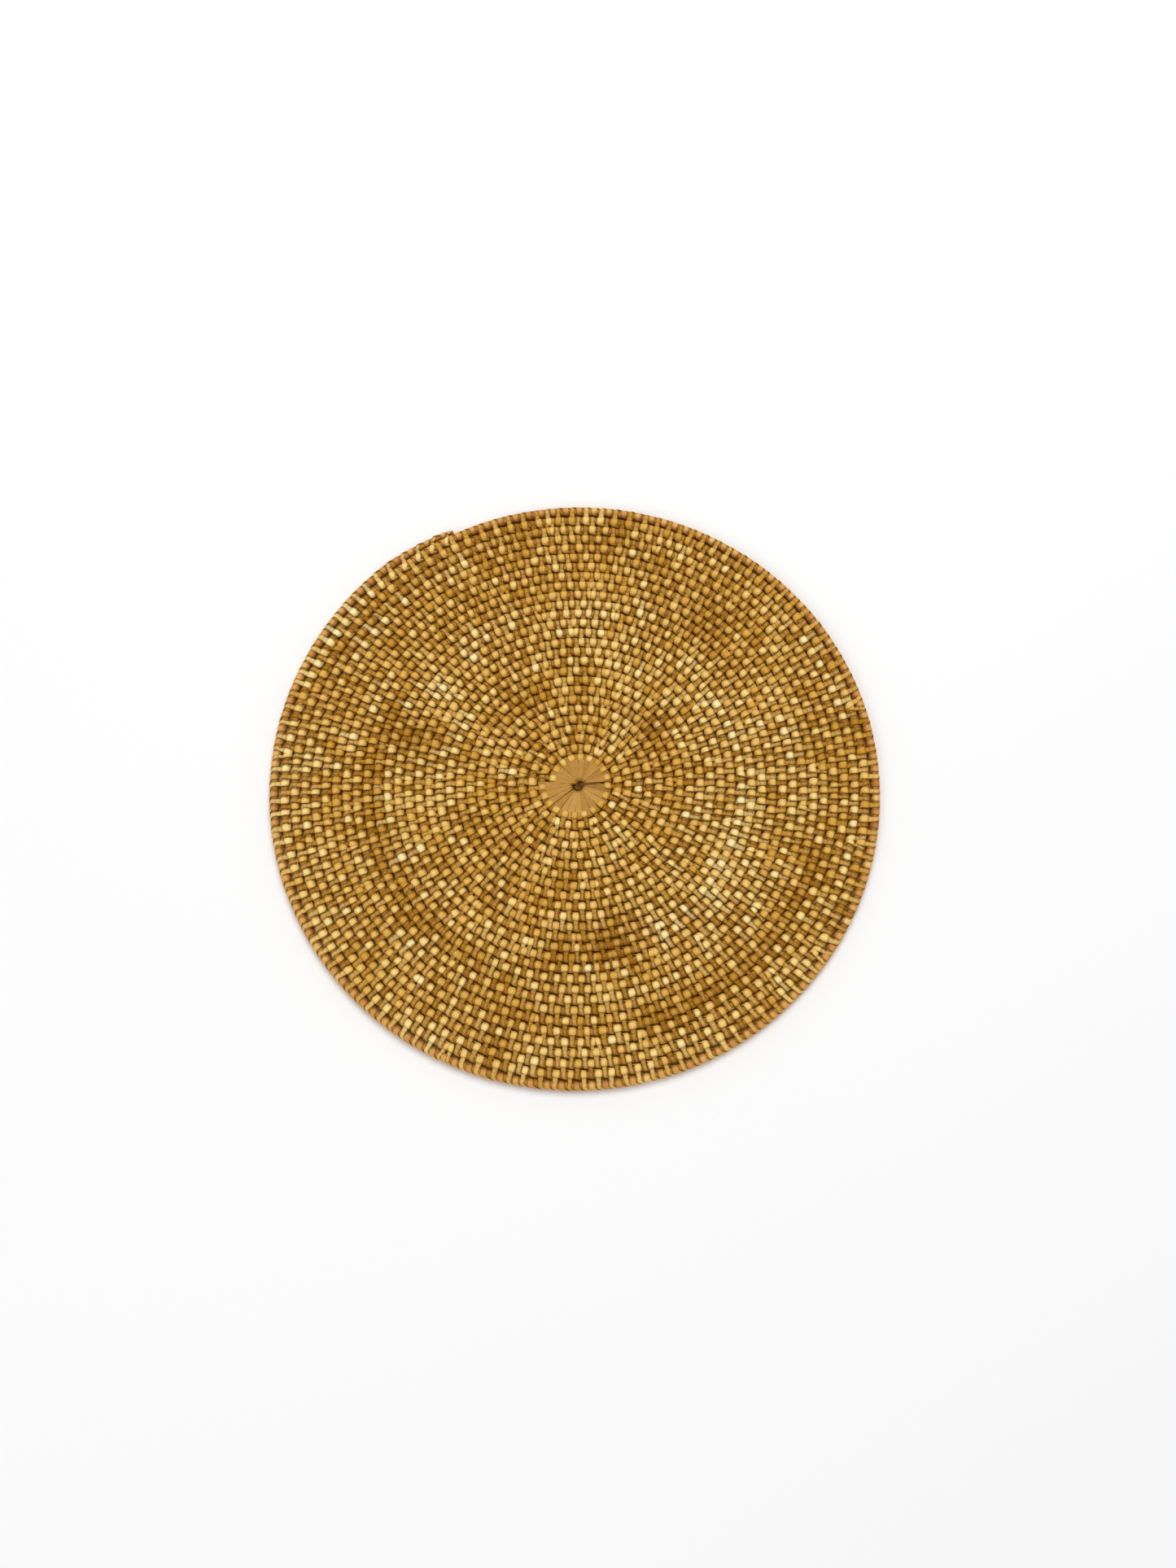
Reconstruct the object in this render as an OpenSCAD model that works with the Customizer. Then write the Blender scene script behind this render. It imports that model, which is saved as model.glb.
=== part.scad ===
// Round coiled rattan seat mat.
// One long coil of round rattan core winds out from the centre. Flat strips of
// rattan peel bind each turn of it to the turn inside. Here each strip is the
// closed sleeve that its stitches make along its own stretch of the coil.
// Millimetres. Origin at the centre of the underside, +Z up.

/* [Mat] */
// Distance from one turn of the coil to the next
pitch = 6.4; // [6.3:0.1:6.8]
// Whole turns of the coil from the centre to the rim
full_turns = 29; // [28:1:30]
// Centreline radius of the innermost half turn
start_r = 4.4; // [4:0.1:4.8]
// Angle from +X at which the coil's tail runs out
tail_angle = 117; // [105:1:125]
// Length over which the tail of the coil tapers
tail_l = 46; // [36:1:60]

/* [Core] */
// Diameter of the round rattan core
core_d = 4.6; // [4.4:0.1:4.8]
// Length of the scarf where one length of core meets the next
scarf_l = 16; // [10:1:20]
// Diameter of the core at the tip of the tail
tail_d = 1.6; // [1:0.1:2]

/* [Binding] */
// Height of the mat, between the flats that the strips are pressed to
mat_h = 6.2; // [6:0.05:6.2]
// Thickness of one layer of rattan peel
peel_t = 0.4; // [0.3:0.02:0.4]

/* [Hub] */
// Number of wedge shaped wraps in each half of the star at the centre
half_wraps = 12; // [8:1:16]
// Angle left open in the star for the tail of the first strip
star_opening = 9; // [6:1:14]
// Width of the tail of the first strip
start_tail_w = 0.7; // [0.4:0.1:0.8]

/* [Hidden] */
// Steps round a full turn of the coil, and round a cross section
path_steps = 120;
section_steps = 40;
$fn = section_steps;
core_r = core_d / 2;
slip = 0.03;
touch = 0.02;
rod_count = 7;
strip_count = 26;
// The star wraps three turns, so the first strip starts on half turn 6
star_halves = 6;
last_half = 2 * full_turns;
sleeve_in = core_r + slip;
sleeve_out = pitch / 2 - touch;
// On the rim turn the binding is one layer, and the lashing goes round it
rim_binding_out = sleeve_in + peel_t;
lashing_in = rim_binding_out + slip;
mid_h = mat_h / 2;
// Sides and number of the rings that the core's tail is drawn with
ring_sides = 16;
tail_rings = 12;
// Wraps of the lashing round the tail, and the share of the tail they cover
tail_wraps = 8;
tail_wrap_cover = 0.84;
// Angle between two wraps of the star
wrap_gap = 1;
// Where the first strip's tail lies, from the centre of the far half turns
start_tail_from = 6;
start_tail_to = 15;
// How far a scarf's cut reaches past the core: beside it, lengthways and in height
cut_beside = 0.9;
cut_past = 2;
cut_above = 1;

// The coil is counted in half turns from 0. An even half turn lies on the far
// side, from -X over +Y to +X, and an odd one on the near side from +X to -X.
// Their centres are half a pitch apart, so each half turn runs into the next.
function is_far(half) = half % 2 == 0;
function half_r(half) = start_r + half * pitch / 2;
function half_centre(half) = [is_far(half) ? pitch / 2 : 0, pitch / 4, mid_h];
// Angle at a place on a half turn, where part runs from 0 to 1
function half_angle(half, part) = (is_far(half) ? 180 : 360) - 180 * part;

// A place on the coil is counted in half turns, to this step. The ends of
// pieces keep off the ends of a half turn.
place_step = 0.001;
end_margin = 0.1;
function to_step(place) = round(place / place_step) * place_step;
function off_ends(place) =
  floor(place) + min(max(to_step(place - floor(place)), end_margin), 1 - end_margin);

// Length of the coil up to a place, and the reverse
length_a = PI * pitch / 4;
length_b = PI * (start_r - pitch / 4);
function coil_length(place) = (length_a * place + length_b) * place;
function place_at(length) =
  (sqrt(length_b * length_b + 4 * length_a * length) - length_b) / (2 * length_a);

tail_end = last_half + to_step((180 - tail_angle) / 180);
tail_start = tail_end - to_step(tail_l / (PI * half_r(last_half)));
rim_start = tail_start - 2;

// Draws a cross section along half turn half, between two parts of it
module along_half(half, from, to) {
  translate(half_centre(half))
    rotate_extrude(angle = 180 * (to - from), start = half_angle(half, to), $fn = path_steps)
      let ($fn = section_steps)
        translate([half_r(half), 0])
          children();
}

// Draws a cross section along the coil between two places in half turns
module along_coil(from, to) {
  for (half = [floor(from) : ceil(to) - 1])
    along_half(half, max(from - half, 0), min(to - half, 1)) children();
}

// Cross section of a sleeve, pressed flat above and below
module sleeve_section(inner, outer) {
  difference() {
    intersection() {
      circle(outer);
      square([2 * pitch, mat_h], center = true);
    }
    circle(inner);
  }
}

// Places where one length of core meets the next
function rod_place(number) =
  number == 0 ? 0 :
  number == rod_count ? tail_start :
  off_ends(place_at(number * coil_length(tail_start) / rod_count));

// Half of the scarf's length, in half turns
function scarf_part(place) = to_step(scarf_l / (2 * PI * half_r(floor(place))));

// Wedge that a scarf removes. side is 1 for the outer side of the coil, where
// the next length starts, and -1 for the inner side, where the last one ends.
module scarf_cut(place, side) {
  half = floor(place);
  deep = core_r + cut_beside;
  ends = scarf_l / 2;
  past = side * (ends + cut_past);
  translate(half_centre(half))
    rotate(half_angle(half, place - half))
      translate([half_r(half) - side * slip / 2, 0, -core_r - cut_above])
        linear_extrude(core_d + 2 * cut_above)
          polygon([[-deep, ends], [deep, -ends], [deep, past], [-deep, past]]);
}

// One length of round core
module core_rod(number) {
  first = rod_place(number - 1);
  last = rod_place(number);
  is_first = number == 1;
  is_last = number == rod_count;
  from = is_first ? first : first - scarf_part(first);
  to = is_last ? last : last + scarf_part(last);
  color(number % 2 == 0 ? "burlywood" : "tan") {
    difference() {
      along_coil(from, to) circle(core_r);
      if (!is_first) scarf_cut(first, 1);
      if (!is_last) scarf_cut(last, -1);
    }
    if (is_last) core_tail();
  }
}

// The tail of the last length of core, shaved to a taper. It keeps to the
// inner side of its path, against the turn inside it, and its first ring lies
// just inside the round core.
tail_half = floor(tail_end);
tail_root = -0.02;
shaved_r = 0.97 * core_r;
function tail_place(u) = tail_start + u * (tail_end - tail_start);
function tail_section_r(u) = shaved_r + u * (tail_d / 2 - shaved_r);
function tail_path_r(u) = half_r(tail_half) - core_r + tail_section_r(u);
function tail_ring(u) = [
  for (side = [0 : ring_sides - 1])
    let (
      angle = half_angle(tail_half, tail_place(u) - tail_half),
      around = 360 * side / ring_sides,
      out = tail_path_r(u) + tail_section_r(u) * cos(around)
    )
    half_centre(tail_half)
      + [out * cos(angle), out * sin(angle), tail_section_r(u) * sin(around)]
];

module core_tail() {
  points = [
    for (ring = [0 : tail_rings])
      each tail_ring(ring == 0 ? tail_root : ring / tail_rings)
  ];
  walls = [
    for (ring = [0 : tail_rings - 1], side = [0 : ring_sides - 1])
      let (
        here = ring * ring_sides,
        next_side = (side + 1) % ring_sides
      )
      [here + side, here + ring_sides + side, here + ring_sides + next_side, here + next_side]
  ];
  start_cap = [for (side = [0 : ring_sides - 1]) side];
  tip_cap = [for (side = [ring_sides - 1 : -1 : 0]) tail_rings * ring_sides + side];
  polyhedron(points, concat(walls, [start_cap, tip_cap]), convexity = 4);
}

// One strip of peel, stitched along its stretch of the coil
strip_run = (coil_length(tail_start) - coil_length(star_halves)) / strip_count;
function strip_place(number) =
  number == 0 ? star_halves :
  number == strip_count ? tail_start :
  off_ends(place_at(coil_length(star_halves) + number * strip_run));

module binding_strip(number) {
  from = strip_place(number - 1);
  to = strip_place(number) - place_step;
  color(number % 2 == 0 ? "peru" : "sandybrown") {
    if (from < rim_start)
      along_coil(from, min(to, rim_start)) sleeve_section(sleeve_in, sleeve_out);
    if (to > rim_start)
      along_coil(max(from, rim_start), to) sleeve_section(sleeve_in, rim_binding_out);
  }
}

// The lashing that covers the rim turn, with separate wraps round the tail
module rim_lashing() {
  wrap_part = (tail_end - tail_start) / tail_wraps;
  color("saddlebrown") {
    along_coil(rim_start, tail_start) sleeve_section(lashing_in, sleeve_out);
    for (wrap = [0 : tail_wraps - 1]) {
      from = tail_start + (wrap + (1 - tail_wrap_cover) / 2) * wrap_part - tail_half;
      inner = tail_section_r(wrap / tail_wraps) + slip;
      along_half(tail_half, from, from + tail_wrap_cover * wrap_part)
        translate([inner - core_r, 0])
          difference() {
            circle(inner + peel_t);
            circle(inner);
          }
    }
  }
}

// Two round ends joined by flats, round the turns from inner to outer
module band_section(inner, outer, radius) {
  translate([inner, 0]) circle(radius);
  translate([outer, 0]) circle(radius);
  translate([inner, -radius]) square([outer - inner, 2 * radius]);
}

// The star at the centre: wedge shaped wraps that pass through the middle hole
// and round the outside of the first three turns
module hub_star() {
  color("peru")
    for (half = [0, 1], wrap = [0 : half_wraps - 1]) {
      opening = is_far(half) ? star_opening : 0;
      step = (180 - opening) / half_wraps;
      translate(half_centre(half))
        rotate_extrude(angle = step - wrap_gap, $fn = path_steps,
                       start = 180 * half + opening + wrap * step + wrap_gap / 2)
          let ($fn = section_steps) difference() {
            band_section(half_r(half), half_r(half + 4), mid_h);
            band_section(half_r(half), half_r(half + 4), sleeve_in);
          }
    }
}

// The end of the first strip, tucked along the opening in the star
module start_tail() {
  color("saddlebrown")
    translate(half_centre(0))
      rotate(star_opening / 2)
        translate([0, 0, sleeve_in]) {
          translate([start_tail_from, -start_tail_w / 2, 0])
            cube([start_tail_to - start_tail_from, start_tail_w, peel_t]);
          translate([start_tail_to, 0, 0]) cylinder(d = start_tail_w, h = peel_t);
        }
}

function numbered(name, count) = [
  for (number = [1 : count]) str(name, number < 10 ? "_0" : "_", number)
];

core_rod(1);  // core_rod_01
core_rod(2);  // core_rod_02
core_rod(3);  // core_rod_03
core_rod(4);  // core_rod_04
core_rod(5);  // core_rod_05
core_rod(6);  // core_rod_06
core_rod(7);  // core_rod_07
binding_strip(1);  // binding_strip_01
binding_strip(2);  // binding_strip_02
binding_strip(3);  // binding_strip_03
binding_strip(4);  // binding_strip_04
binding_strip(5);  // binding_strip_05
binding_strip(6);  // binding_strip_06
binding_strip(7);  // binding_strip_07
binding_strip(8);  // binding_strip_08
binding_strip(9);  // binding_strip_09
binding_strip(10);  // binding_strip_10
binding_strip(11);  // binding_strip_11
binding_strip(12);  // binding_strip_12
binding_strip(13);  // binding_strip_13
binding_strip(14);  // binding_strip_14
binding_strip(15);  // binding_strip_15
binding_strip(16);  // binding_strip_16
binding_strip(17);  // binding_strip_17
binding_strip(18);  // binding_strip_18
binding_strip(19);  // binding_strip_19
binding_strip(20);  // binding_strip_20
binding_strip(21);  // binding_strip_21
binding_strip(22);  // binding_strip_22
binding_strip(23);  // binding_strip_23
binding_strip(24);  // binding_strip_24
binding_strip(25);  // binding_strip_25
binding_strip(26);  // binding_strip_26
hub_star();
start_tail();
rim_lashing();
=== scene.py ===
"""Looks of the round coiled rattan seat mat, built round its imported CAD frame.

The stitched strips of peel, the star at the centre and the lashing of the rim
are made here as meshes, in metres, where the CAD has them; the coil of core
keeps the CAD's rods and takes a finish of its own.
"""
import math
import bpy
import numpy as np
from mathutils import Matrix, Vector


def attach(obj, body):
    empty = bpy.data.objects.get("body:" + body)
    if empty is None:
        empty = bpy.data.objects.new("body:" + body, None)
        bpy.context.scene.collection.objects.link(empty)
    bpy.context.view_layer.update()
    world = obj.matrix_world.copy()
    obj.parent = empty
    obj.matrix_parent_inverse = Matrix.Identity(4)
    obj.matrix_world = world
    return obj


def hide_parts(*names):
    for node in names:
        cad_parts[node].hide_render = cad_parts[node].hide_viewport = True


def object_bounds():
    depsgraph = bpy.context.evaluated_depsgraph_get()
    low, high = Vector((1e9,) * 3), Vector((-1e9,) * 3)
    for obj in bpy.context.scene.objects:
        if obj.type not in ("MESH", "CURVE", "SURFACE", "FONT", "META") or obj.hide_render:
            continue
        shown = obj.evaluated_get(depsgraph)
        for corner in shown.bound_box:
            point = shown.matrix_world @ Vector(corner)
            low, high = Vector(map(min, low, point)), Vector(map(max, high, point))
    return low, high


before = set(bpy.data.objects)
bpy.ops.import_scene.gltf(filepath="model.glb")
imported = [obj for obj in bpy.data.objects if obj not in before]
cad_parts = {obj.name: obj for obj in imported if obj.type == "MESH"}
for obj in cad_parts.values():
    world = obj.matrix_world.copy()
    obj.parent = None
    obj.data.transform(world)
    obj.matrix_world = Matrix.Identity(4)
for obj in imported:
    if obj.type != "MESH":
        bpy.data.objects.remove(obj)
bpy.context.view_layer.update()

# ---------------------------------------------------------------- dimensions
# Millimetres, as in the CAD. Meshes are scaled to metres when they are made.
MM = 0.001
PITCH = 6.4              # from one turn of the coil to the next
START_R = 4.4            # centreline radius of the innermost half turn
FULL_TURNS = 29
TAIL_ANGLE = 117.0       # where the coil's tail runs out, from +X
TAIL_LENGTH = 46.0
TAIL_TIP_R = 0.8             # radius of the core at its tip
CORE_R = 2.3                 # and everywhere else
MID_H = 3.1              # height of the coil's centreline
STAR_HALVES = 6          # the star hides this many half turns
STAR_WRAPS = 12          # wraps in each half of the star
STAR_OPENING = 9.0       # angle left open for the first strip's end
ROD_COUNT = 7
STRIP_COUNT = 26
PLACE_STEP = 0.001           # places on the coil are rounded to this
END_MARGIN = 0.1             # and keep this far off the ends of a half turn

PEEL_T = 0.40            # thickness of a strip of rattan peel
STRIP_W = 4.0            # its width
OWN_R = CORE_R + 0.03 + PEEL_T / 2      # strip's middle surface on its own turn
RIDE_R = OWN_R + PEEL_T + 0.02          # and where it rides over the turn inside
SEED = 29


# ------------------------------------------------------------------ the coil
# A place on the coil is counted in half turns. Even half turns lie on the far
# side of the mat, odd ones on the near side, and their centres are apart.
def half_r(half):
    return START_R + half * PITCH / 2


def coil_length(place):
    """Length of the coil up to a place."""
    a = math.pi * PITCH / 4
    b = math.pi * (START_R - PITCH / 4)
    return (a * place + b) * place


def place_at(length):
    """Place at which the coil reaches a length."""
    a = math.pi * PITCH / 4
    b = math.pi * (START_R - PITCH / 4)
    return (np.sqrt(b * b + 4 * a * length) - b) / (2 * a)


def coil_frame(place):
    """Centre, outward direction and forward direction of the coil at places."""
    place = np.asarray(place, dtype=float)
    half = np.floor(place)
    far = half % 2 == 0
    angle = np.radians(np.where(far, 180.0, 360.0) - 180.0 * (place - half))
    centre = np.stack([np.where(far, PITCH / 2, 0.0),
                       np.full(place.shape, PITCH / 4)], axis=-1)
    outward = np.stack([np.cos(angle), np.sin(angle)], axis=-1)
    forward = np.stack([np.sin(angle), -np.cos(angle)], axis=-1)
    return centre, outward, forward, half_r(half)


def coil_point(place, out, up):
    """Point beside the coil's centreline: out from it and up from mid height."""
    centre, outward, _, radius = coil_frame(place)
    flat = centre + (radius + out)[..., None] * outward
    height = np.broadcast_to(MID_H + up, flat.shape[:-1])
    return np.concatenate([flat, height[..., None]], axis=-1)


def to_step(place):
    return round(place / PLACE_STEP) * PLACE_STEP


def off_ends(place):
    half = math.floor(place)
    return half + min(max(to_step(place - half), END_MARGIN), 1 - END_MARGIN)


TAIL_END = 2 * FULL_TURNS + to_step((180 - TAIL_ANGLE) / 180)
TAIL_START = TAIL_END - to_step(TAIL_LENGTH / (math.pi * half_r(2 * FULL_TURNS)))
RIM_START = TAIL_START - 2


def strip_place(number):
    """Place at which a binding strip ends and the next one starts."""
    if number == 0:
        return STAR_HALVES
    if number == STRIP_COUNT:
        return TAIL_START
    first = coil_length(STAR_HALVES)
    run = (coil_length(TAIL_START) - first) / STRIP_COUNT
    return off_ends(place_at(first + number * run))


def tail_core_r(place):
    """Radius of the core, which tapers along the tail."""
    share = np.clip((place - TAIL_START) / (TAIL_END - TAIL_START), 0, 1)
    return CORE_R + share * (TAIL_TIP_R - CORE_R)


# -------------------------------------------------------------- the stitches
# A stitch rises round the outside of its own turn, crosses over the top to the
# turn inside, dives through the gap beyond it, and comes back underneath.
RISE, TOP, DIVE, UNDER = range(4)
INNER_STEP = 7.8             # spacing of the stitches over most of the mat
RIM_STEP = 9.0               # and at its rim, where they are further apart
WIDENS_FROM = 34             # place where the spacing starts to widen
OWED_LIMIT = (0.2, 1.2)      # a gap takes two stitches when this many are owed
SHARED_GAP_SPREAD = 1.0      # the two stand this far off the middle of the gap
SHARED_GAP_PULL = 0.25       # and this share of the spacing off it on their own turn
SMOOTHING = 0.55             # how far stitches are drawn to even spacing
SMOOTHING_ROUNDS = 20
OWN_JITTER = 0.42            # unevenness of a stitch's place on its own turn
INNER_JITTER = 0.4           # and on the turn inside
TIP_LEFT = 0.003             # half turns from the last stitch to the tail's tip
LAST_STITCHES = 8            # stitches drawn along a little to bring it there
CROSSING_FROM = 1.25         # a strip wider than this crosses below from turn to turn
CROSSING_COVER = 0.92        # and is at least this share of the spacing wide there

OWN_LIFT = 0.3               # share of a stitch's lift that it has on its own turn

# Each stretch of a stitch: stage, on its own turn or the one inside, then from
# and to: angle, share of the stage, width, painted shade and rise, and number of samples
# The painted shade darkens a stitch on its own turn, in its dive and below, and leaves its
# crest over the turn inside light
STRETCHES = (
    (RISE, True, (-60, 0), (0.0, 0.5), (0.90, 0.80), (0.8, 0.95), (0, 0), 4),
    (RISE, True, (0, 60), (0.5, 1.0), (0.80, 0.74), (0.95, 0.95), (0, 0), 4),
    (TOP, True, (60, 114), (0.0, 0.35), (0.74, 0.74), (0.95, 0.9), (-0.02, 0.0), 4),
    (TOP, True, (114, 126), (0.35, 0.47), (0.74, 0.86), (1.0, 1.1), (0, -0.35), 2),
    (TOP, False, (40, 58), (0.53, 0.66), (0.92, 1.06), (0.9, 0.25), (-0.35, 0.14), 3),
    (TOP, False, (58, 90), (0.66, 0.83), (1.07, 1.08), (0.2, 0.0), (0.17, 0.22), 3),
    (TOP, False, (90, 122), (0.83, 1.0), (1.08, 1.05), (0.0, 0.25), (0.22, 0.22), 3),
    (DIVE, False, (122, 155), (0.0, 0.28), (1.05, 0.84), (0.3, 0.95), (0.2, 0), 4),
    (DIVE, False, (155, 240), (0.28, 1.0), (0.82, 1.0), (0.9, 0.5), (0, 0), 5),
    (UNDER, False, (240, 298), (0.0, 0.41), (1.0, 1.3), (0.3, 0.0), (0.12, 0), 4),
    (UNDER, False, (298, 314), (0.41, 0.48), (1.6, 1.75), (0.2, 0.7), (0, -0.1), 1),
    (UNDER, True, (242, 300), (0.62, 1.0), (1.6, 0.92), (0.6, 0.8), (0, 0), 4),
)


def stitch_path():
    """Samples round a stitch: stage, turn, angle, share, width, painted shade and rise."""
    columns = [[] for _ in range(7)]
    for stage, on_own, *ranges, count in STRETCHES:
        columns[0] += [stage] * count
        columns[1] += [on_own] * count
        for column, (start, end) in zip(columns[2:], ranges):
            column += np.linspace(start, end, count, endpoint=False).tolist()
    return [np.array(column) for column in columns]


def smooth(share):
    return share * share * (3 - 2 * share)


def wanted_step(place):
    """Spacing of the stitches, which opens out towards the rim."""
    share = (place - WIDENS_FROM) / (2 * FULL_TURNS - WIDENS_FROM)
    return INNER_STEP + (RIM_STEP - INNER_STEP) * smooth(np.clip(share, 0, 1))


def gaps_to_use(rng, middles, owed):
    """Gaps of the turn inside in order, some of them twice as the turns grow."""
    lengths = coil_length(middles)
    spacing = np.gradient(lengths)
    uses, side = [], []
    limit = rng.uniform(*OWED_LIMIT)
    for number, space in enumerate(spacing):
        owed += space / wanted_step(middles[number]) - 1
        if owed > limit:
            uses += [number, number]
            side += [-1, 1]
            owed -= 1
            limit = rng.uniform(*OWED_LIMIT)
        else:
            uses.append(number)
            side.append(0)
    return lengths[uses], spacing[uses], np.array(side), owed


def stitch_places(rng):
    """Places of all the stitches, on their own turn and on the turn inside."""
    start, end = coil_length(STAR_HALVES), coil_length(STAR_HALVES + 2)
    count = round((end - start) / INNER_STEP)
    own = start + (np.arange(count) + 0.5) * (end - start) / count
    inner = own.copy()
    side = np.zeros(count)
    first = owed = 0
    while place_at(own[-1]) < TAIL_END:
        turn = place_at(own[first:])
        first = len(own) - 1
        gaps = (turn[1:] + turn[:-1]) / 2 + 2
        middles, spacing, turn_side, owed = gaps_to_use(rng, gaps, owed)
        pulled = middles + SHARED_GAP_PULL * turn_side * spacing
        added = pulled
        for _ in range(SMOOTHING_ROUNDS):
            after = np.append(added[1:], 2 * added[-1] - added[-2])
            even = (np.append(own[-1], added[:-1]) + after) / 2
            added = (1 - SMOOTHING) * pulled + SMOOTHING * even
        added = added + rng.normal(0, OWN_JITTER, len(added))
        own = np.append(own, np.maximum.accumulate(added))
        inner = np.append(inner, middles + SHARED_GAP_SPREAD * turn_side
                          + rng.normal(0, INNER_JITTER, len(added)))
        side = np.append(side, turn_side)
    kept = place_at(own) < TAIL_END - TIP_LEFT
    own, inner = place_at(own[kept]), place_at(inner[kept])
    left = TAIL_END - TIP_LEFT - own[-1]
    own[-LAST_STITCHES:] += np.linspace(0, left, LAST_STITCHES)
    return own, inner, side[kept]


def blend(start, end, share):
    return start[:, None] + (end - start)[:, None] * share[None, :]


def outward_normals(place, angle):
    """Directions away from the coil's centreline, at an angle up from outwards."""
    _, outward, _, _ = coil_frame(place)
    up = np.broadcast_to(np.sin(angle)[None, :, None], place.shape + (1,))
    return np.concatenate([outward * np.cos(angle)[None, :, None], up], axis=-1)


def stitch_samples(own, inner, lift):
    """Middle line and outward normals of the strip along a run of stitches."""
    stage, on_own, angle, share, _, _, rise = stitch_path()
    angle = np.radians(angle)
    next_own = np.append(own[1:], TAIL_END)
    last_own = np.append(2 * own[0] - own[1], own[:-1])
    next_inner = np.append(inner[1:], 2 * inner[-1] - inner[-2])
    own_under = (own + next_own) / 2
    last_under = (own + last_own) / 2
    inner_under = (inner + next_inner) / 2
    place = np.select(
        [stage == RISE, stage == TOP, stage == DIVE],
        [blend(last_under, own, smooth(share)), blend(own, inner, share),
         blend(inner, inner_under, smooth(share))],
        blend(inner_under, own_under, share))
    core = tail_core_r(own)[:, None]
    own_r = core - CORE_R + OWN_R + OWN_LIFT * lift[:, None]
    ride_r = RIDE_R + lift[:, None]
    radius = np.where(on_own, own_r, ride_r) + rise
    middle = np.where(on_own, core - CORE_R, -PITCH)
    centres = coil_point(place, middle + radius * np.cos(angle), radius * np.sin(angle))
    return centres, outward_normals(place, angle)


# --------------------------------------------------------------- tube meshes
# Cross section of a strip of peel, over its half width and its thickness
PEEL_ACROSS = np.array([-1.0, -0.62, 0.0, 0.62, 1.0, 0.86, -0.86])
PEEL_ABOVE = np.array([-0.12, 0.36, 0.5, 0.36, -0.12, -0.5, -0.5])
EDGE_SHADE = 0.45            # painted shade at a strip's edges, which leaves its middle lighter as a painted highlight


UP = np.array([0.0, 0.0, 1.0])


def unit(vectors):
    return vectors / np.linalg.norm(vectors, axis=-1, keepdims=True)


class Tube:
    """Rings of points joined into a tube, with its fibre coordinates in millimetres."""

    def __init__(self, points, across, closed=False, **attributes):
        self.points = points
        self.closed = closed
        rings, sides = points.shape[:2]
        steps = np.linalg.norm(np.diff(points.mean(axis=1), axis=0), axis=1)
        self.along = np.append(np.append(0, np.cumsum(steps)), steps.sum() + steps[-1])
        self.across = np.append(across, across[0])
        self.attributes = {key: np.broadcast_to(values, (rings, sides))
                           for key, values in attributes.items()}

    def corners(self):
        """Ring and side of every corner of the tube's quads."""
        rings, sides = self.points.shape[:2]
        count = rings if self.closed else rings - 1
        ring, side = np.meshgrid(np.arange(count), np.arange(sides), indexing="ij")
        return (np.stack([ring, ring + 1, ring + 1, ring], axis=-1).reshape(-1, 4),
                np.stack([side, side, side + 1, side + 1], axis=-1).reshape(-1, 4))


# Bake layout: how much longer than wide a tile is, and the margins in it
TILE_SHAPE = 5
TILE_MARGIN = (0.02, 0.08)


def join_tubes(name, tubes, tile_rings):
    """One mesh of many tubes, laid out for baking in tiles of so many rings."""
    faces, fibre, tiles, points = [], [], [], []
    base = tile_base = 0
    tile_count = sum(math.ceil(len(tube.points) / tile_rings) for tube in tubes)
    columns = max(1, round(math.sqrt(tile_count / TILE_SHAPE)))
    margin_u, margin_v = TILE_MARGIN
    rows = math.ceil(tile_count / columns)
    for tube in tubes:
        rings, sides = tube.points.shape[:2]
        ring, side = tube.corners()
        quads = base + (ring % rings) * sides + side % sides
        faces.extend(quads.tolist())
        fibre.append(np.stack([tube.along[ring], tube.across[side]], axis=-1))
        tile = ring[:, :1] // tile_rings
        inside = (ring - tile * tile_rings) / tile_rings
        tile = tile + tile_base
        u = (tile % columns + margin_u + (1 - 2 * margin_u) * inside) / columns
        v = (tile // columns + margin_v + (1 - 2 * margin_v) * side / sides) / rows
        tiles.append(np.stack([u, v], axis=-1))
        tile_base += math.ceil(rings / tile_rings)
        points.append(tube.points.reshape(-1, 3))
        base += rings * sides
    quad_loops = 4 * len(faces)
    base = 0
    for tube in tubes:
        rings, sides = tube.points.shape[:2]
        if not tube.closed:
            faces.append(list(range(base, base + sides)))
            last = base + rings * sides
            faces.append(list(range(last - 1, last - sides - 1, -1)))
        base += rings * sides
    mesh = bpy.data.meshes.new(name)
    mesh.from_pydata((np.concatenate(points) * MM).tolist(), [], faces)
    mesh.update()
    for layer_name, parts in (("fibre", fibre), ("OFBake", tiles)):
        layer = mesh.uv_layers.new(name=layer_name)
        coordinates = np.zeros((len(mesh.loops), 2), dtype=np.float32)
        coordinates[:quad_loops] = np.concatenate(parts).reshape(-1, 2)
        layer.data.foreach_set("uv", coordinates.ravel())
    for key in tubes[0].attributes:
        values = np.concatenate([tube.attributes[key].ravel() for tube in tubes])
        layer = mesh.attributes.new(key, "FLOAT", "POINT")
        layer.data.foreach_set("value", values.astype(np.float32))
    mesh.polygons.foreach_set("use_smooth", np.ones(len(mesh.polygons), dtype=bool))
    piece = bpy.data.objects.new(name, mesh)
    bpy.context.scene.collection.objects.link(piece)
    return piece


def put_in_frame(piece, node, material):
    """The piece stands for a CAD node, rides with the mat and takes its finish."""
    piece.data.materials.append(material)
    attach(piece, "root")
    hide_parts(node)
    return piece


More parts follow.
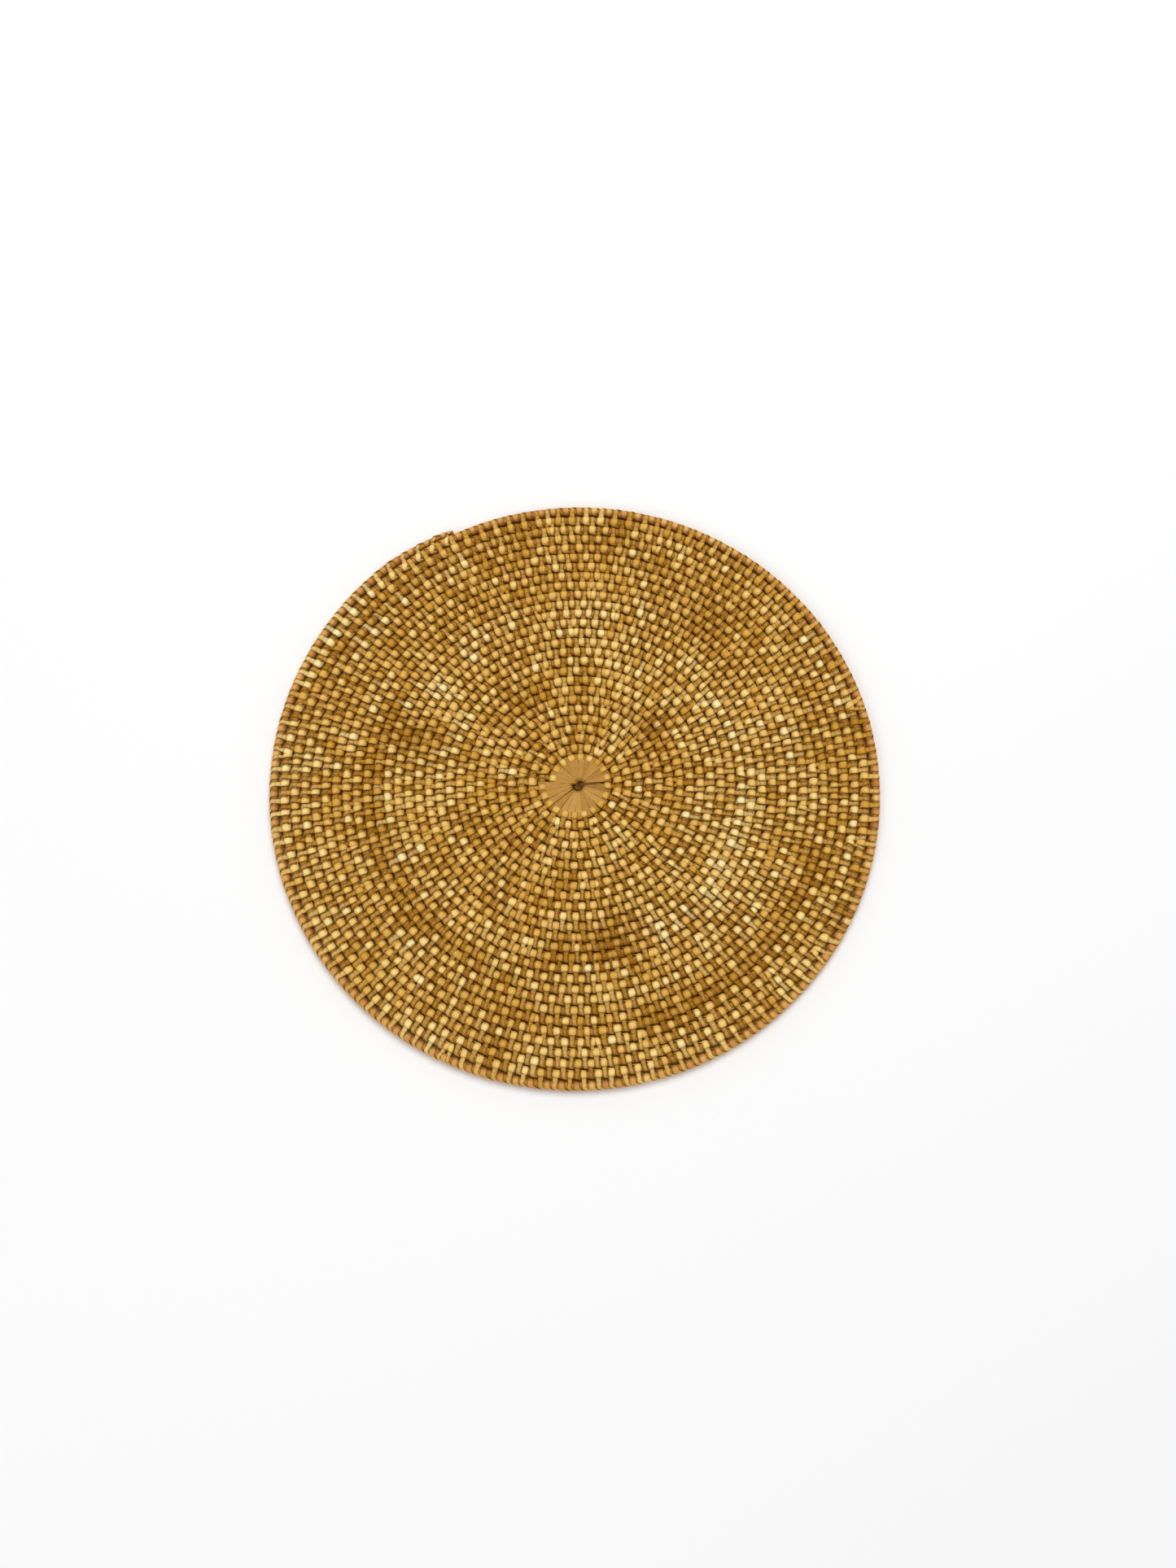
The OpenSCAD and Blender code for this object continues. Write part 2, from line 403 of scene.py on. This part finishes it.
def ribbon(centres, normals, width, twist, **attributes):
    """A flat strip of peel that follows a middle line."""
    tangents = unit(np.gradient(centres, axis=0))
    flat = unit(np.cross(normals, tangents))
    turned = np.broadcast_to(twist, len(centres))[:, None]
    sideways = np.cos(turned) * flat + np.sin(turned) * np.cross(tangents, flat)
    above = np.cross(tangents, sideways)
    half_width = np.broadcast_to(width, len(centres))[:, None, None] / 2
    points = (centres[:, None, :]
              + sideways[:, None, :] * half_width * PEEL_ACROSS[None, :, None]
              + above[:, None, :] * PEEL_T * PEEL_ABOVE[None, :, None])
    attributes = {key: values[:, None] for key, values in attributes.items()}
    # Painted shade on the strip's edges, and so a painted highlight along its middle
    attributes["gloom"] = attributes["gloom"] + EDGE_SHADE * PEEL_ACROSS ** 2
    return Tube(points, PEEL_ACROSS * STRIP_W / 2, **attributes)


# ------------------------------------------------------------------ binding
# Worn and stained spots: middle, reach in millimetres, and how much lighter
SPOTS = (
    (-104, 31, 13, -2.4), (46, 37, 8, -2.4), (-31, 54, 9, -2.0), (23, -100, 13, -2.6),
    (-8, -104, 9, -1.6), (163, -79, 5, -4.0), (25, 172, 4, -3.0), (-84, 64, 12, 1.4),
    (84, 108, 16, -1.2),
)
# Stretches of a single turn that are darker: radius, first and last angle, tone
DULL_TURNS = (
    (125, 150, 255, -2.2), (153, 285, 345, -2.0), (56, 10, 70, -1.5), (170, 100, 160, -1.6),
)
TURN_REACH = 2.6
WORN_GLOOM = 0.24            # gloom that goes with each step of tone below the usual
USUAL_TONE = (1.1, 0.9)      # mean and spread of the stitches' tones
TURN_TONE = 0.6              # spread of the tones of half turns
PALE_SHARE = 0.24            # some stitches are paler by an amount in this range
PALER_BY = (0.5, 2.4)
STAINED_SHARE = 0.03         # and a few are darker by this
DARKER_BY = 2.5
LIFT = (0.07, 0.12)          # mean and spread of how far stitches stand off
LIFT_RANGE = (-0.12, 0.34)
WIDTH_SPREAD = 0.12          # unevenness of the strips' width
WIDTH_RANGE = (0.7, 1.25)
SHARED_WIDTH = 0.8           # stitches that share a gap are narrower
TWIST_SPREAD = 7             # degrees of twist where a stitch is on top
TWIST_ELSEWHERE = 0.3        # and the share of it in the rest of the stitch
DARKNESS = (0.5, 1.1)        # stitches differ in how deep their painted shade is
RIM_DARKNESS = 0.5           # and on the rim turn their painted shade is this much less dark


def worn_tone(own):
    """How much lighter or darker stitches are in the spots and the dull turns."""
    x, y, _ = coil_point(own, -PITCH, 0.0).T
    tone = np.zeros(len(own))
    for spot_x, spot_y, reach, lighter in SPOTS:
        away = np.hypot(x - spot_x, y - spot_y) / reach
        tone += lighter * np.exp(-away ** 2)
    angle = np.degrees(np.arctan2(y, x)) % 360
    for radius, first, last, lighter in DULL_TURNS:
        away = (np.hypot(x, y) - radius) / TURN_REACH
        tone += lighter * np.exp(-away ** 2) * ((angle > first) & (angle < last))
    return tone


def stitch_tones(rng, count):
    """How light each stitch is: most are middling, some are pale, a few are dark."""
    tone = rng.normal(*USUAL_TONE, count)
    pale = rng.random(count) < PALE_SHARE
    tone[pale] += rng.uniform(*PALER_BY, pale.sum())
    stained = rng.random(count) < STAINED_SHARE
    tone[stained] -= DARKER_BY
    return tone


def binding_strips(rng, places, material):
    """The long strips of peel, each one a run of stitches."""
    own, inner, side = places
    count = len(own)
    lift = rng.normal(*LIFT, count).clip(*LIFT_RANGE)
    halves = np.arange(2 * FULL_TURNS + 2)
    turn_tone = np.interp(own, halves, rng.normal(0, TURN_TONE, len(halves)))
    worn = worn_tone(own)
    tone = stitch_tones(rng, count) + turn_tone + worn
    width = STRIP_W * rng.normal(1, WIDTH_SPREAD, count).clip(*WIDTH_RANGE)
    width[side != 0] *= SHARED_WIDTH
    width *= (1 + tail_core_r(own) / CORE_R) / 2
    twist = np.radians(rng.normal(0, TWIST_SPREAD, count))
    stage, _, _, _, wide, gloom, _ = stitch_path()
    samples = len(wide)
    free = np.where(stage == TOP, 1.0, TWIST_ELSEWHERE)
    closing = np.where(wide > CROSSING_FROM, CROSSING_COVER, 0.0)
    spacing = np.gradient(coil_length(own)) * (own < TAIL_START)
    centres, normals = stitch_samples(own, inner, lift)
    # Painted shade along each stitch, deeper on some stitches than others and lighter on
    # the rim turn, plus the darkening of stained spots
    darkness = np.where(own > RIM_START, RIM_DARKNESS, 1.0) * rng.uniform(*DARKNESS, count)
    gloom = darkness[:, None] * gloom + WORN_GLOOM * np.clip(-worn, 0, None)[:, None]
    middle = np.arange(count) + 0.5
    for number in range(1, STRIP_COUNT + 1):
        last = strip_place(number) if number < STRIP_COUNT else TAIL_END
        mine = np.flatnonzero((own >= strip_place(number - 1)) & (own < last))
        run = slice(mine[0], mine[-1] + 1)
        stitches = len(mine)
        position = mine[0] + np.arange(stitches * samples) / samples
        widths = np.interp(position, middle, width) * np.tile(wide, stitches)
        crossing = np.outer(spacing[run], closing).reshape(-1)
        strip = ribbon(centres[run].reshape(-1, 3), normals[run].reshape(-1, 3),
                       np.maximum(widths, crossing),
                       np.interp(position, middle, twist) * np.tile(free, stitches),
                       tone=np.interp(position, middle, tone),
                       strip=np.full(len(position), rng.normal(0, 1)),
                       gloom=gloom[run].reshape(-1))
        piece = join_tubes("peel_strip_%02d" % number, [strip], samples)
        put_in_frame(piece, "binding_strip_%02d" % number, material)


LASHING_RINGS = 30           # rings in a wrap of the lashing
LASHING_FROM = -60           # angle at which a wrap starts, in degrees
LASHING_OFF = 0.12           # the lashing lies this far off the stitches' surface
LASHING_LIFT = 0.05          # and this is how much that varies
LASHING_JITTER = 0.0006      # unevenness of a wrap's place
LASHING_WIDTH = 0.05         # and of its width


def rim_wraps(rng, places, material):
    """The lashing of the rim: a wrap of the last turn between each two stitches."""
    own = places[0][places[0] > RIM_START]
    count = len(own) - 1
    turn = np.linspace(0, 1, LASHING_RINGS, endpoint=False)
    angle = np.radians(LASHING_FROM + 360 * turn)
    # Outside the coil the wrap moves to its middle place, inside it to the next
    outside = smooth(np.clip(turn * 3, 0, 1))
    inside = smooth(np.clip(turn * 3 - 1.5, 0, 1))
    between = (own[:-1] + own[1:]) / 2 + rng.normal(0, LASHING_JITTER, count)
    before = own[:-1, None]
    after = own[1:, None]
    middle = between[:, None]
    place = before + (middle - before) * outside + (after - middle) * inside
    core = tail_core_r(place)
    lift = rng.normal(0, LASHING_LIFT, count)[:, None]
    radius = core - CORE_R + OWN_R + LASHING_OFF + lift
    centres = coil_point(place, core - CORE_R + radius * np.cos(angle),
                         radius * np.sin(angle))
    normals = outward_normals(place, angle)
    position = np.arange(place.size) / len(turn)
    stitch = np.arange(count) + 0.5
    width = STRIP_W * rng.normal(1, LASHING_WIDTH, count)
    tone = stitch_tones(rng, count)
    # Painted shade on the inner side of each wrap, where it goes down between the turns
    inner_side = np.clip(-np.cos(angle), 0, 1)
    strip = ribbon(centres.reshape(-1, 3), normals.reshape(-1, 3),
                   np.interp(position, stitch, width), 0.0,
                   tone=np.interp(position, stitch, tone),
                   strip=np.zeros(place.size),
                   gloom=np.tile(inner_side, count))
    piece = join_tubes("rim_lashing_strip", [strip], len(turn))
    put_in_frame(piece, "rim_lashing", material)


# --------------------------------------------------------------------- star
STAR_OVERLAP = 1.28          # the wraps of the star lap over their neighbours
STAR_TILT = math.radians(1.5)
STAR_TILT_RANGE = (0.4, 1.4)
STAR_T = 0.24                # the wraps are pared thinner than the strips
STAR_R = OWN_R + 0.05        # bend of a wrap's middle surface round a turn
STAR_DIP = 0.16              # how far a wrap sinks between the turns
HOLE = np.array([1.8, 0.3])  # middle of the hole
HOLE_R = 2.9                 # and its radius
BEND_RINGS = 11              # rings round a bend of a wrap, and along its flats
FLAT_RINGS = 11
STAR_TONE = 0.9              # spread of the wraps' tones
STAR_GLOOM = (0.2, 0.6)      # darkening over all of a wrap, and the painted shade added where it bends into the hole
STAR_JITTER = 0.04           # unevenness of a wrap's place, in wraps
STAR_STEP_UP = 0.04          # every second wrap lies this much higher
STAR_LIFT = 0.015            # give or take this


def star_outline(start):
    """Loop of a star wrap: how far out and up, the angle it faces, share outwards."""
    loop = []

    def bend(middle, share, first, last):
        for angle in np.radians(np.linspace(first, last, BEND_RINGS)):
            loop.append((middle + STAR_R * math.cos(angle),
                         STAR_R * math.sin(angle), angle, share))

    def flat(side, shares):
        for share in shares:
            dip = STAR_DIP * math.sin(2 * math.pi * share) ** 2
            loop.append((start + (2 * PITCH - start) * share, side * (STAR_R - dip),
                         side * math.pi / 2, share))

    inward = np.linspace(1, 0, FLAT_RINGS + 2)[1:-1]
    bend(start, 0, 90, 270)
    flat(-1, inward[::-1])
    bend(2 * PITCH, 1, -90, 90)
    flat(1, inward)
    return [np.array(column) for column in zip(*loop)]


def star_wrap(rng, half, turned, step, raised):
    """One wedge shaped wrap, from the hole out round three turns and back below."""
    outward = np.array([math.cos(turned), math.sin(turned), 0.0])
    sideways = np.array([-math.sin(turned), math.cos(turned), 0.0])
    centre = np.array([PITCH / 2 if half == 0 else 0.0, PITCH / 4, MID_H])
    to_hole = HOLE - centre[:2]
    start = 0 if half == 0 else to_hole @ outward[:2] + HOLE_R + STAR_R - half_r(half)
    aside = 0 if half == 0 else to_hole @ sideways[:2] * abs(math.sin(turned))
    out, up, facing, share = star_outline(start)
    reach = half_r(half) + out
    middle = (centre + reach[:, None] * outward
              + (aside * (1 - share))[:, None] * sideways
              + (up + raised * np.sign(up))[:, None] * UP)
    normal = np.cos(facing)[:, None] * outward + np.sin(facing)[:, None] * UP
    tilt = STAR_TILT * rng.uniform(*STAR_TILT_RANGE)
    across = math.cos(tilt) * sideways + math.sin(tilt) * normal
    from_hole = reach - to_hole @ outward[:2]
    half_width = np.maximum(reach, from_hole) * step * STAR_OVERLAP / 2
    points = (middle[:, None, :]
              + across[:, None, :] * half_width[:, None, None] * PEEL_ACROSS[None, :, None]
              + normal[:, None, :] * STAR_T * PEEL_ABOVE[None, :, None])
    count = len(out)
    # Painted shade on the bend of each wrap that turns down into the hole
    gloom = STAR_GLOOM[0] + STAR_GLOOM[1] * np.clip(-np.cos(facing), 0, 1)
    return Tube(points[::-1], PEEL_ACROSS * STRIP_W / 2, True,
                tone=np.full((count, 1), rng.normal(0, STAR_TONE)),
                strip=np.zeros((count, 1)), gloom=gloom[::-1, None])


def star_wraps(rng, material):
    """The star of wraps through the hole in the middle."""
    tubes = []
    for half in (0, 1):
        opening = math.radians(STAR_OPENING if half == 0 else 0)
        step = (math.pi - opening) / STAR_WRAPS
        for wrap in range(STAR_WRAPS):
            middle = wrap + 0.5 + rng.normal(0, STAR_JITTER)
            turned = math.pi * half + opening + middle * step
            raised = STAR_STEP_UP * (wrap % 2) + rng.normal(0, STAR_LIFT)
            tubes.append(star_wrap(rng, half, turned, step, raised))
    piece = join_tubes("hub_star_wraps", tubes, len(tubes[0].points))
    put_in_frame(piece, "hub_star", material)


KNOT_RINGS = 60
KNOT_TURNS = 2.6             # turns of the strand in the hole
KNOT_FROM = -2.2             # and the angle it starts at, in radians
KNOT_REACH = (1.5, 1.35)     # half its length and half its breadth
KNOT_Z = (0.9, 1.9)          # its lowest height, and how far it climbs
KNOT_HALF_W = 1.15
STRAND_RINGS = 40
STRAND_L = 10.5              # length of the strand on the star
STRAND_HALF_W = 0.72
STRAND_FLATNESS = 0.6        # thickness over width
STRAND_SIDES = 10
STRAND_EASING = 4            # rounds of evening out between the knot and the strand
STRAND_TILE = 20             # rings in a tile of its bake layout
STRAND_FIBRE_R = 0.7         # radius that its fibre coordinates are laid out with


def knot_and_strand():
    """Middle line and half widths of the first strip's end, from the hole outwards."""
    knot = np.linspace(0, 1, KNOT_RINGS, endpoint=False)
    round_hole = 2 * math.pi * KNOT_TURNS * knot + KNOT_FROM
    knot_points = np.stack([HOLE[0] + KNOT_REACH[0] * np.cos(round_hole),
                            HOLE[1] + KNOT_REACH[1] * np.sin(round_hole),
                            KNOT_Z[0] + KNOT_Z[1] * knot], axis=-1)
    share = np.linspace(0, 1, STRAND_RINGS)
    turned = math.radians(STAR_OPENING / 2)
    along = np.array([math.cos(turned), math.sin(turned), 0.0])
    aside = np.array([-math.sin(turned), math.cos(turned), 0.0])
    rim_of_hole = np.array([PITCH / 2 + 1.0, PITCH / 4 - 0.7, MID_H + STAR_R + 0.25])
    # The strand wavers a little, and dips at the hole and at its far end
    wander = 0.5 * share + 0.25 * np.sin(5.0 * share) + 0.1 * np.sin(13.0 * share)
    sink = 0.9 * smooth(np.clip(6 * share - 5, 0, 1)) + 1.2 * np.exp(-18 * share)
    strand = (rim_of_hole + STRAND_L * share[:, None] * along
              + wander[:, None] * aside - sink[:, None] * UP)
    middle = np.concatenate([knot_points, strand])
    for _ in range(STRAND_EASING):
        middle[1:-1] = (middle[:-2] + middle[1:-1] + middle[2:]) / 3
    # It tapers along the star from a thicker root
    tapered = STRAND_HALF_W * (1 - 0.3 * share) + 0.5 * np.exp(-15 * share)
    half_width = np.append(np.full(KNOT_RINGS, KNOT_HALF_W), tapered)
    half_width *= 1 + 0.08 * np.sin(np.arange(len(middle)) * 0.9)
    return middle, half_width


def start_strand(material):
    """Dark end of the first strip: a knot in the hole, whose dark finish also paints the
    shade down the hole, and a strand in the opening.
    """
    middle, half_width = knot_and_strand()
    tangent = unit(np.gradient(middle, axis=0))
    side = unit(np.cross(UP, tangent))
    above = STRAND_FLATNESS * np.cross(tangent, side)
    around = np.linspace(0, 2 * math.pi, STRAND_SIDES, endpoint=False)
    points = (middle[:, None, :]
              + side[:, None, :] * (half_width[:, None] * np.cos(around))[..., None]
              + above[:, None, :] * (half_width[:, None] * np.sin(around))[..., None])
    zeros = np.zeros((len(middle), 1))
    tube = Tube(points, STRAND_FIBRE_R * around, tone=zeros, strip=zeros, gloom=zeros)
    piece = join_tubes("start_strand", [tube], STRAND_TILE)
    put_in_frame(piece, "start_tail", material)


# ---------------------------------------------------------------- materials
def linear(red, green, blue):
    """sRGB bytes as linear colour."""
    def channel(value):
        value = value / 255
        return value / 12.92 if value <= 0.04045 else ((value + 0.055) / 1.055) ** 2.4
    return (channel(red), channel(green), channel(blue), 1.0)


class Nodes:
    """Short way to write a material's node graph."""

    def __init__(self, name):
        self.material = bpy.data.materials.new(name)
        self.material.use_nodes = True
        self.tree = self.material.node_tree
        self.shader = self.tree.nodes["Principled BSDF"]

    def add(self, kind, **settings):
        node = self.tree.nodes.new(kind)
        for key, value in settings.items():
            setattr(node, key, value)
        return node

    def link(self, source, target):
        self.tree.links.new(source, target)

    def value(self, socket, source):
        if hasattr(source, "is_output"):
            self.link(source, socket)
        else:
            socket.default_value = source

    def math(self, operation, first, second=0.0, clamp=False):
        node = self.add("ShaderNodeMath", operation=operation, use_clamp=clamp)
        self.value(node.inputs[0], first)
        self.value(node.inputs[1], second)
        return node.outputs[0]

    def mix(self, share, first, second, blend="MIX"):
        node = self.add("ShaderNodeMix", data_type="RGBA", blend_type=blend)
        self.value(node.inputs[0], share)
        self.value(node.inputs[6], first)
        self.value(node.inputs[7], second)
        return node.outputs[2]

    def ramp(self, share, stops):
        node = self.add("ShaderNodeValToRGB")
        elements = node.color_ramp.elements
        while len(elements) < len(stops):
            elements.new(0.5)
        for element, (position, colour) in zip(elements, stops):
            element.position = position
            element.color = colour
        self.value(node.inputs[0], share)
        return node.outputs[0]

    def attribute(self, name):
        return self.add("ShaderNodeAttribute", attribute_name=name).outputs["Fac"]

    def noise(self, vector, scale, detail=3.0, rough=0.55):
        node = self.add("ShaderNodeTexNoise")
        self.link(vector, node.inputs["Vector"])
        node.inputs["Scale"].default_value = scale
        node.inputs["Detail"].default_value = detail
        node.inputs["Roughness"].default_value = rough
        return node.outputs["Fac"]

    def total(self, *parts):
        """Sum of sources, each times its weight."""
        scaled = [self.math("MULTIPLY", source, weight) for source, weight in parts]
        result = scaled[0]
        for part in scaled[1:]:
            result = self.math("ADD", result, part)
        return result

    def bump(self, height, strength, distance):
        """Small relief of the surface, with its depth in metres."""
        node = self.add("ShaderNodeBump")
        node.inputs["Strength"].default_value = strength
        node.inputs["Distance"].default_value = distance
        self.link(height, node.inputs["Height"])
        self.link(node.outputs[0], self.shader.inputs["Normal"])

    def stretched(self, vector, scale):
        node = self.add("ShaderNodeMapping")
        self.link(vector, node.inputs["Vector"])
        node.inputs["Scale"].default_value = scale
        return node.outputs[0]


# Scales of the peel's noises: along and across the strip per millimetre, then
# per metre of the mat
STREAK_SCALE = (0.10, 3.2, 1.0)
FINE_SCALE = (0.35, 9.0, 1.0)
BLOTCH_SCALE = 220.0
REGION_SCALE = 14.0
BASE_SHARE = 0.19            # taken off the sum of all that lightens the peel
SHADE_AND_STAIN_DEPTH = 0.85           # how far the painted shade and the stains go towards the colour of the gaps
ROUGH_SPREAD = 0.22
PEEL_GLOSS = 0.24


def peel_material(name, stops, tone_share, shade_and_stain_colour, rough):
    """Split rattan peel: fibres along the strip, uneven tone, painted shade in the gaps and
    low parts, darker stains.
    """
    nodes = Nodes(name)
    fibre = nodes.add("ShaderNodeUVMap", uv_map="fibre").outputs[0]
    place = nodes.add("ShaderNodeTexCoord").outputs["Object"]
    streaks = nodes.noise(nodes.stretched(fibre, STREAK_SCALE), 1.0, 4.0, 0.6)
    fine = nodes.noise(nodes.stretched(fibre, FINE_SCALE), 1.0, 2.0)
    blotches = nodes.noise(place, BLOTCH_SCALE)
    regions = nodes.noise(place, REGION_SCALE, 2.0)
    lighter = nodes.total((nodes.attribute("tone"), tone_share),
                          (nodes.attribute("strip"), 0.06), (streaks, 0.55),
                          (fine, 0.16), (blotches, 0.26), (regions, 0.32))
    colour = nodes.ramp(nodes.math("SUBTRACT", lighter, BASE_SHARE), stops)
    # Painted shade: the colour is drawn towards the colour of the gaps where the strip lies
    # low or in a gap, and at stained spots
    gloom = nodes.math("MULTIPLY", nodes.attribute("gloom"), SHADE_AND_STAIN_DEPTH, clamp=True)
    colour = nodes.mix(gloom, colour, shade_and_stain_colour)
    nodes.link(colour, nodes.shader.inputs["Base Color"])
    gloss = nodes.math("ADD", nodes.math("MULTIPLY", fine, ROUGH_SPREAD),
                       rough - ROUGH_SPREAD / 2)
    nodes.link(gloss, nodes.shader.inputs["Roughness"])
    nodes.bump(nodes.total((streaks, 1.0), (fine, 0.5)), 0.35, 0.00025)
    nodes.shader.inputs["Specular IOR Level"].default_value = PEEL_GLOSS
    return nodes.material


CORE_GRAIN_SCALE = 900.0
CORE_PATCH_SCALE = 90.0


def core_material():
    """Round rattan core: dull, with fine grain along the coil."""
    nodes = Nodes("rattan_core_grain")
    place = nodes.add("ShaderNodeTexCoord").outputs["Object"]
    grain = nodes.noise(place, CORE_GRAIN_SCALE)
    patches = nodes.noise(place, CORE_PATCH_SCALE)
    share = nodes.total((grain, 0.5), (patches, 0.5))
    colour = nodes.ramp(share, [(0.3, linear(136, 88, 6)), (0.5, linear(164, 112, 18)),
                                (0.7, linear(190, 138, 38))])
    nodes.link(colour, nodes.shader.inputs["Base Color"])
    nodes.link(nodes.math("ADD", nodes.math("MULTIPLY", grain, 0.3), 0.55),
               nodes.shader.inputs["Roughness"])
    nodes.bump(grain, 0.4, 0.0003)
    return nodes.material


rng = np.random.default_rng(SEED)
# In each finish, the colour after the tone share is the colour of the painted shade, which
# the strips' stains take too
peel = peel_material("rattan_peel_strip", [
    (0.10, linear(178, 122, 14)), (0.32, linear(208, 152, 48)),
    (0.50, linear(232, 182, 88)), (0.68, linear(252, 216, 130)),
    (0.88, linear(255, 238, 172))], 0.085, linear(152, 99, 0), 0.48)
rim = peel_material("rattan_rim_strip", [
    (0.10, linear(152, 88, 22)), (0.35, linear(192, 126, 54)),
    (0.60, linear(224, 164, 84)), (0.90, linear(254, 214, 136))],
    0.075, linear(128, 72, 12), 0.5)
# Dark finish of the first strip's end; on the knot in the hole it also paints the hole's
# shade
dark = peel_material("rattan_dark_strand", [
    (0.10, linear(74, 48, 10)), (0.50, linear(110, 76, 20)),
    (0.90, linear(142, 106, 40))], 0.05, linear(60, 34, 8), 0.5)
star = peel_material("rattan_star_wrap", [
    (0.10, linear(146, 98, 22)), (0.40, linear(184, 132, 50)),
    (0.65, linear(208, 158, 76)), (0.90, linear(232, 190, 110))],
    0.085, linear(120, 78, 10), 0.5)

places = stitch_places(rng)
binding_strips(rng, places, peel)
rim_wraps(rng, places, rim)
star_wraps(rng, star)
start_strand(dark)
core = core_material()
for number in range(1, ROD_COUNT + 1):
    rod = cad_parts["core_rod_%02d" % number]
    rod.data.materials.clear()
    rod.data.materials.append(core)


# --------------------------------------------------- floor, light and camera
FLOOR_SIZE = 12
FLOOR_GAP = 0.0001           # left between the mat and the floor, in metres
CAMERA_ELEVATION = 74.13     # nearly overhead, from the near side
CAMERA_DISTANCE = 1.2148
CAMERA_LENS = 44.84
CAMERA_ROLL = 1.18
CAMERA_AIM = (0.0081, 0.0021, MID_H * MM)


def add_floor():
    low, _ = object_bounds()
    bpy.ops.mesh.primitive_plane_add(size=FLOOR_SIZE, location=(0, 0, low.z - FLOOR_GAP))
    floor = bpy.context.object
    floor.name = "floor"
    nodes = Nodes("pale_floor")
    nodes.shader.inputs["Base Color"].default_value = (0.92, 0.92, 0.92, 1)
    nodes.shader.inputs["Roughness"].default_value = 0.9
    floor.data.materials.append(nodes.material)


def add_light(name, size, power, place):
    """Square area light that faces the middle of the mat."""
    light = bpy.data.lights.new(name, "AREA")
    light.size = size
    light.energy = power
    lamp = bpy.data.objects.new(name, light)
    bpy.context.scene.collection.objects.link(lamp)
    lamp.location = place
    lamp.rotation_euler = (-Vector(place)).to_track_quat("-Z", "Y").to_euler()


def add_camera():
    """Camera on the near side that looks down at the mat, rolled a little."""
    elevation = math.radians(CAMERA_ELEVATION)
    data = bpy.data.cameras.new("camera")
    data.sensor_width = 36
    data.lens = CAMERA_LENS
    camera = bpy.data.objects.new("camera", data)
    bpy.context.scene.collection.objects.link(camera)
    back = Vector((0, -math.cos(elevation), math.sin(elevation)))
    camera.location = Vector(CAMERA_AIM) + back * CAMERA_DISTANCE
    look = (-back).to_track_quat("-Z", "Y")
    roll = Matrix.Rotation(math.radians(CAMERA_ROLL), 3, "Z")
    camera.rotation_euler = (look.to_matrix() @ roll).to_euler()
    bpy.context.scene.camera = camera


add_floor()
add_light("overhead", size=1.6, power=30, place=(0.2, 0.9, 2.2))
add_light("front", size=1.2, power=10, place=(-1.2, -1.4, 1.6))
world = bpy.data.worlds.new("studio")
world.use_nodes = True
world.node_tree.nodes["Background"].inputs["Color"].default_value = (1, 1, 1, 1)
world.node_tree.nodes["Background"].inputs["Strength"].default_value = 0.55
bpy.context.scene.world = world
bpy.context.scene.view_settings.view_transform = "Standard"
add_camera()
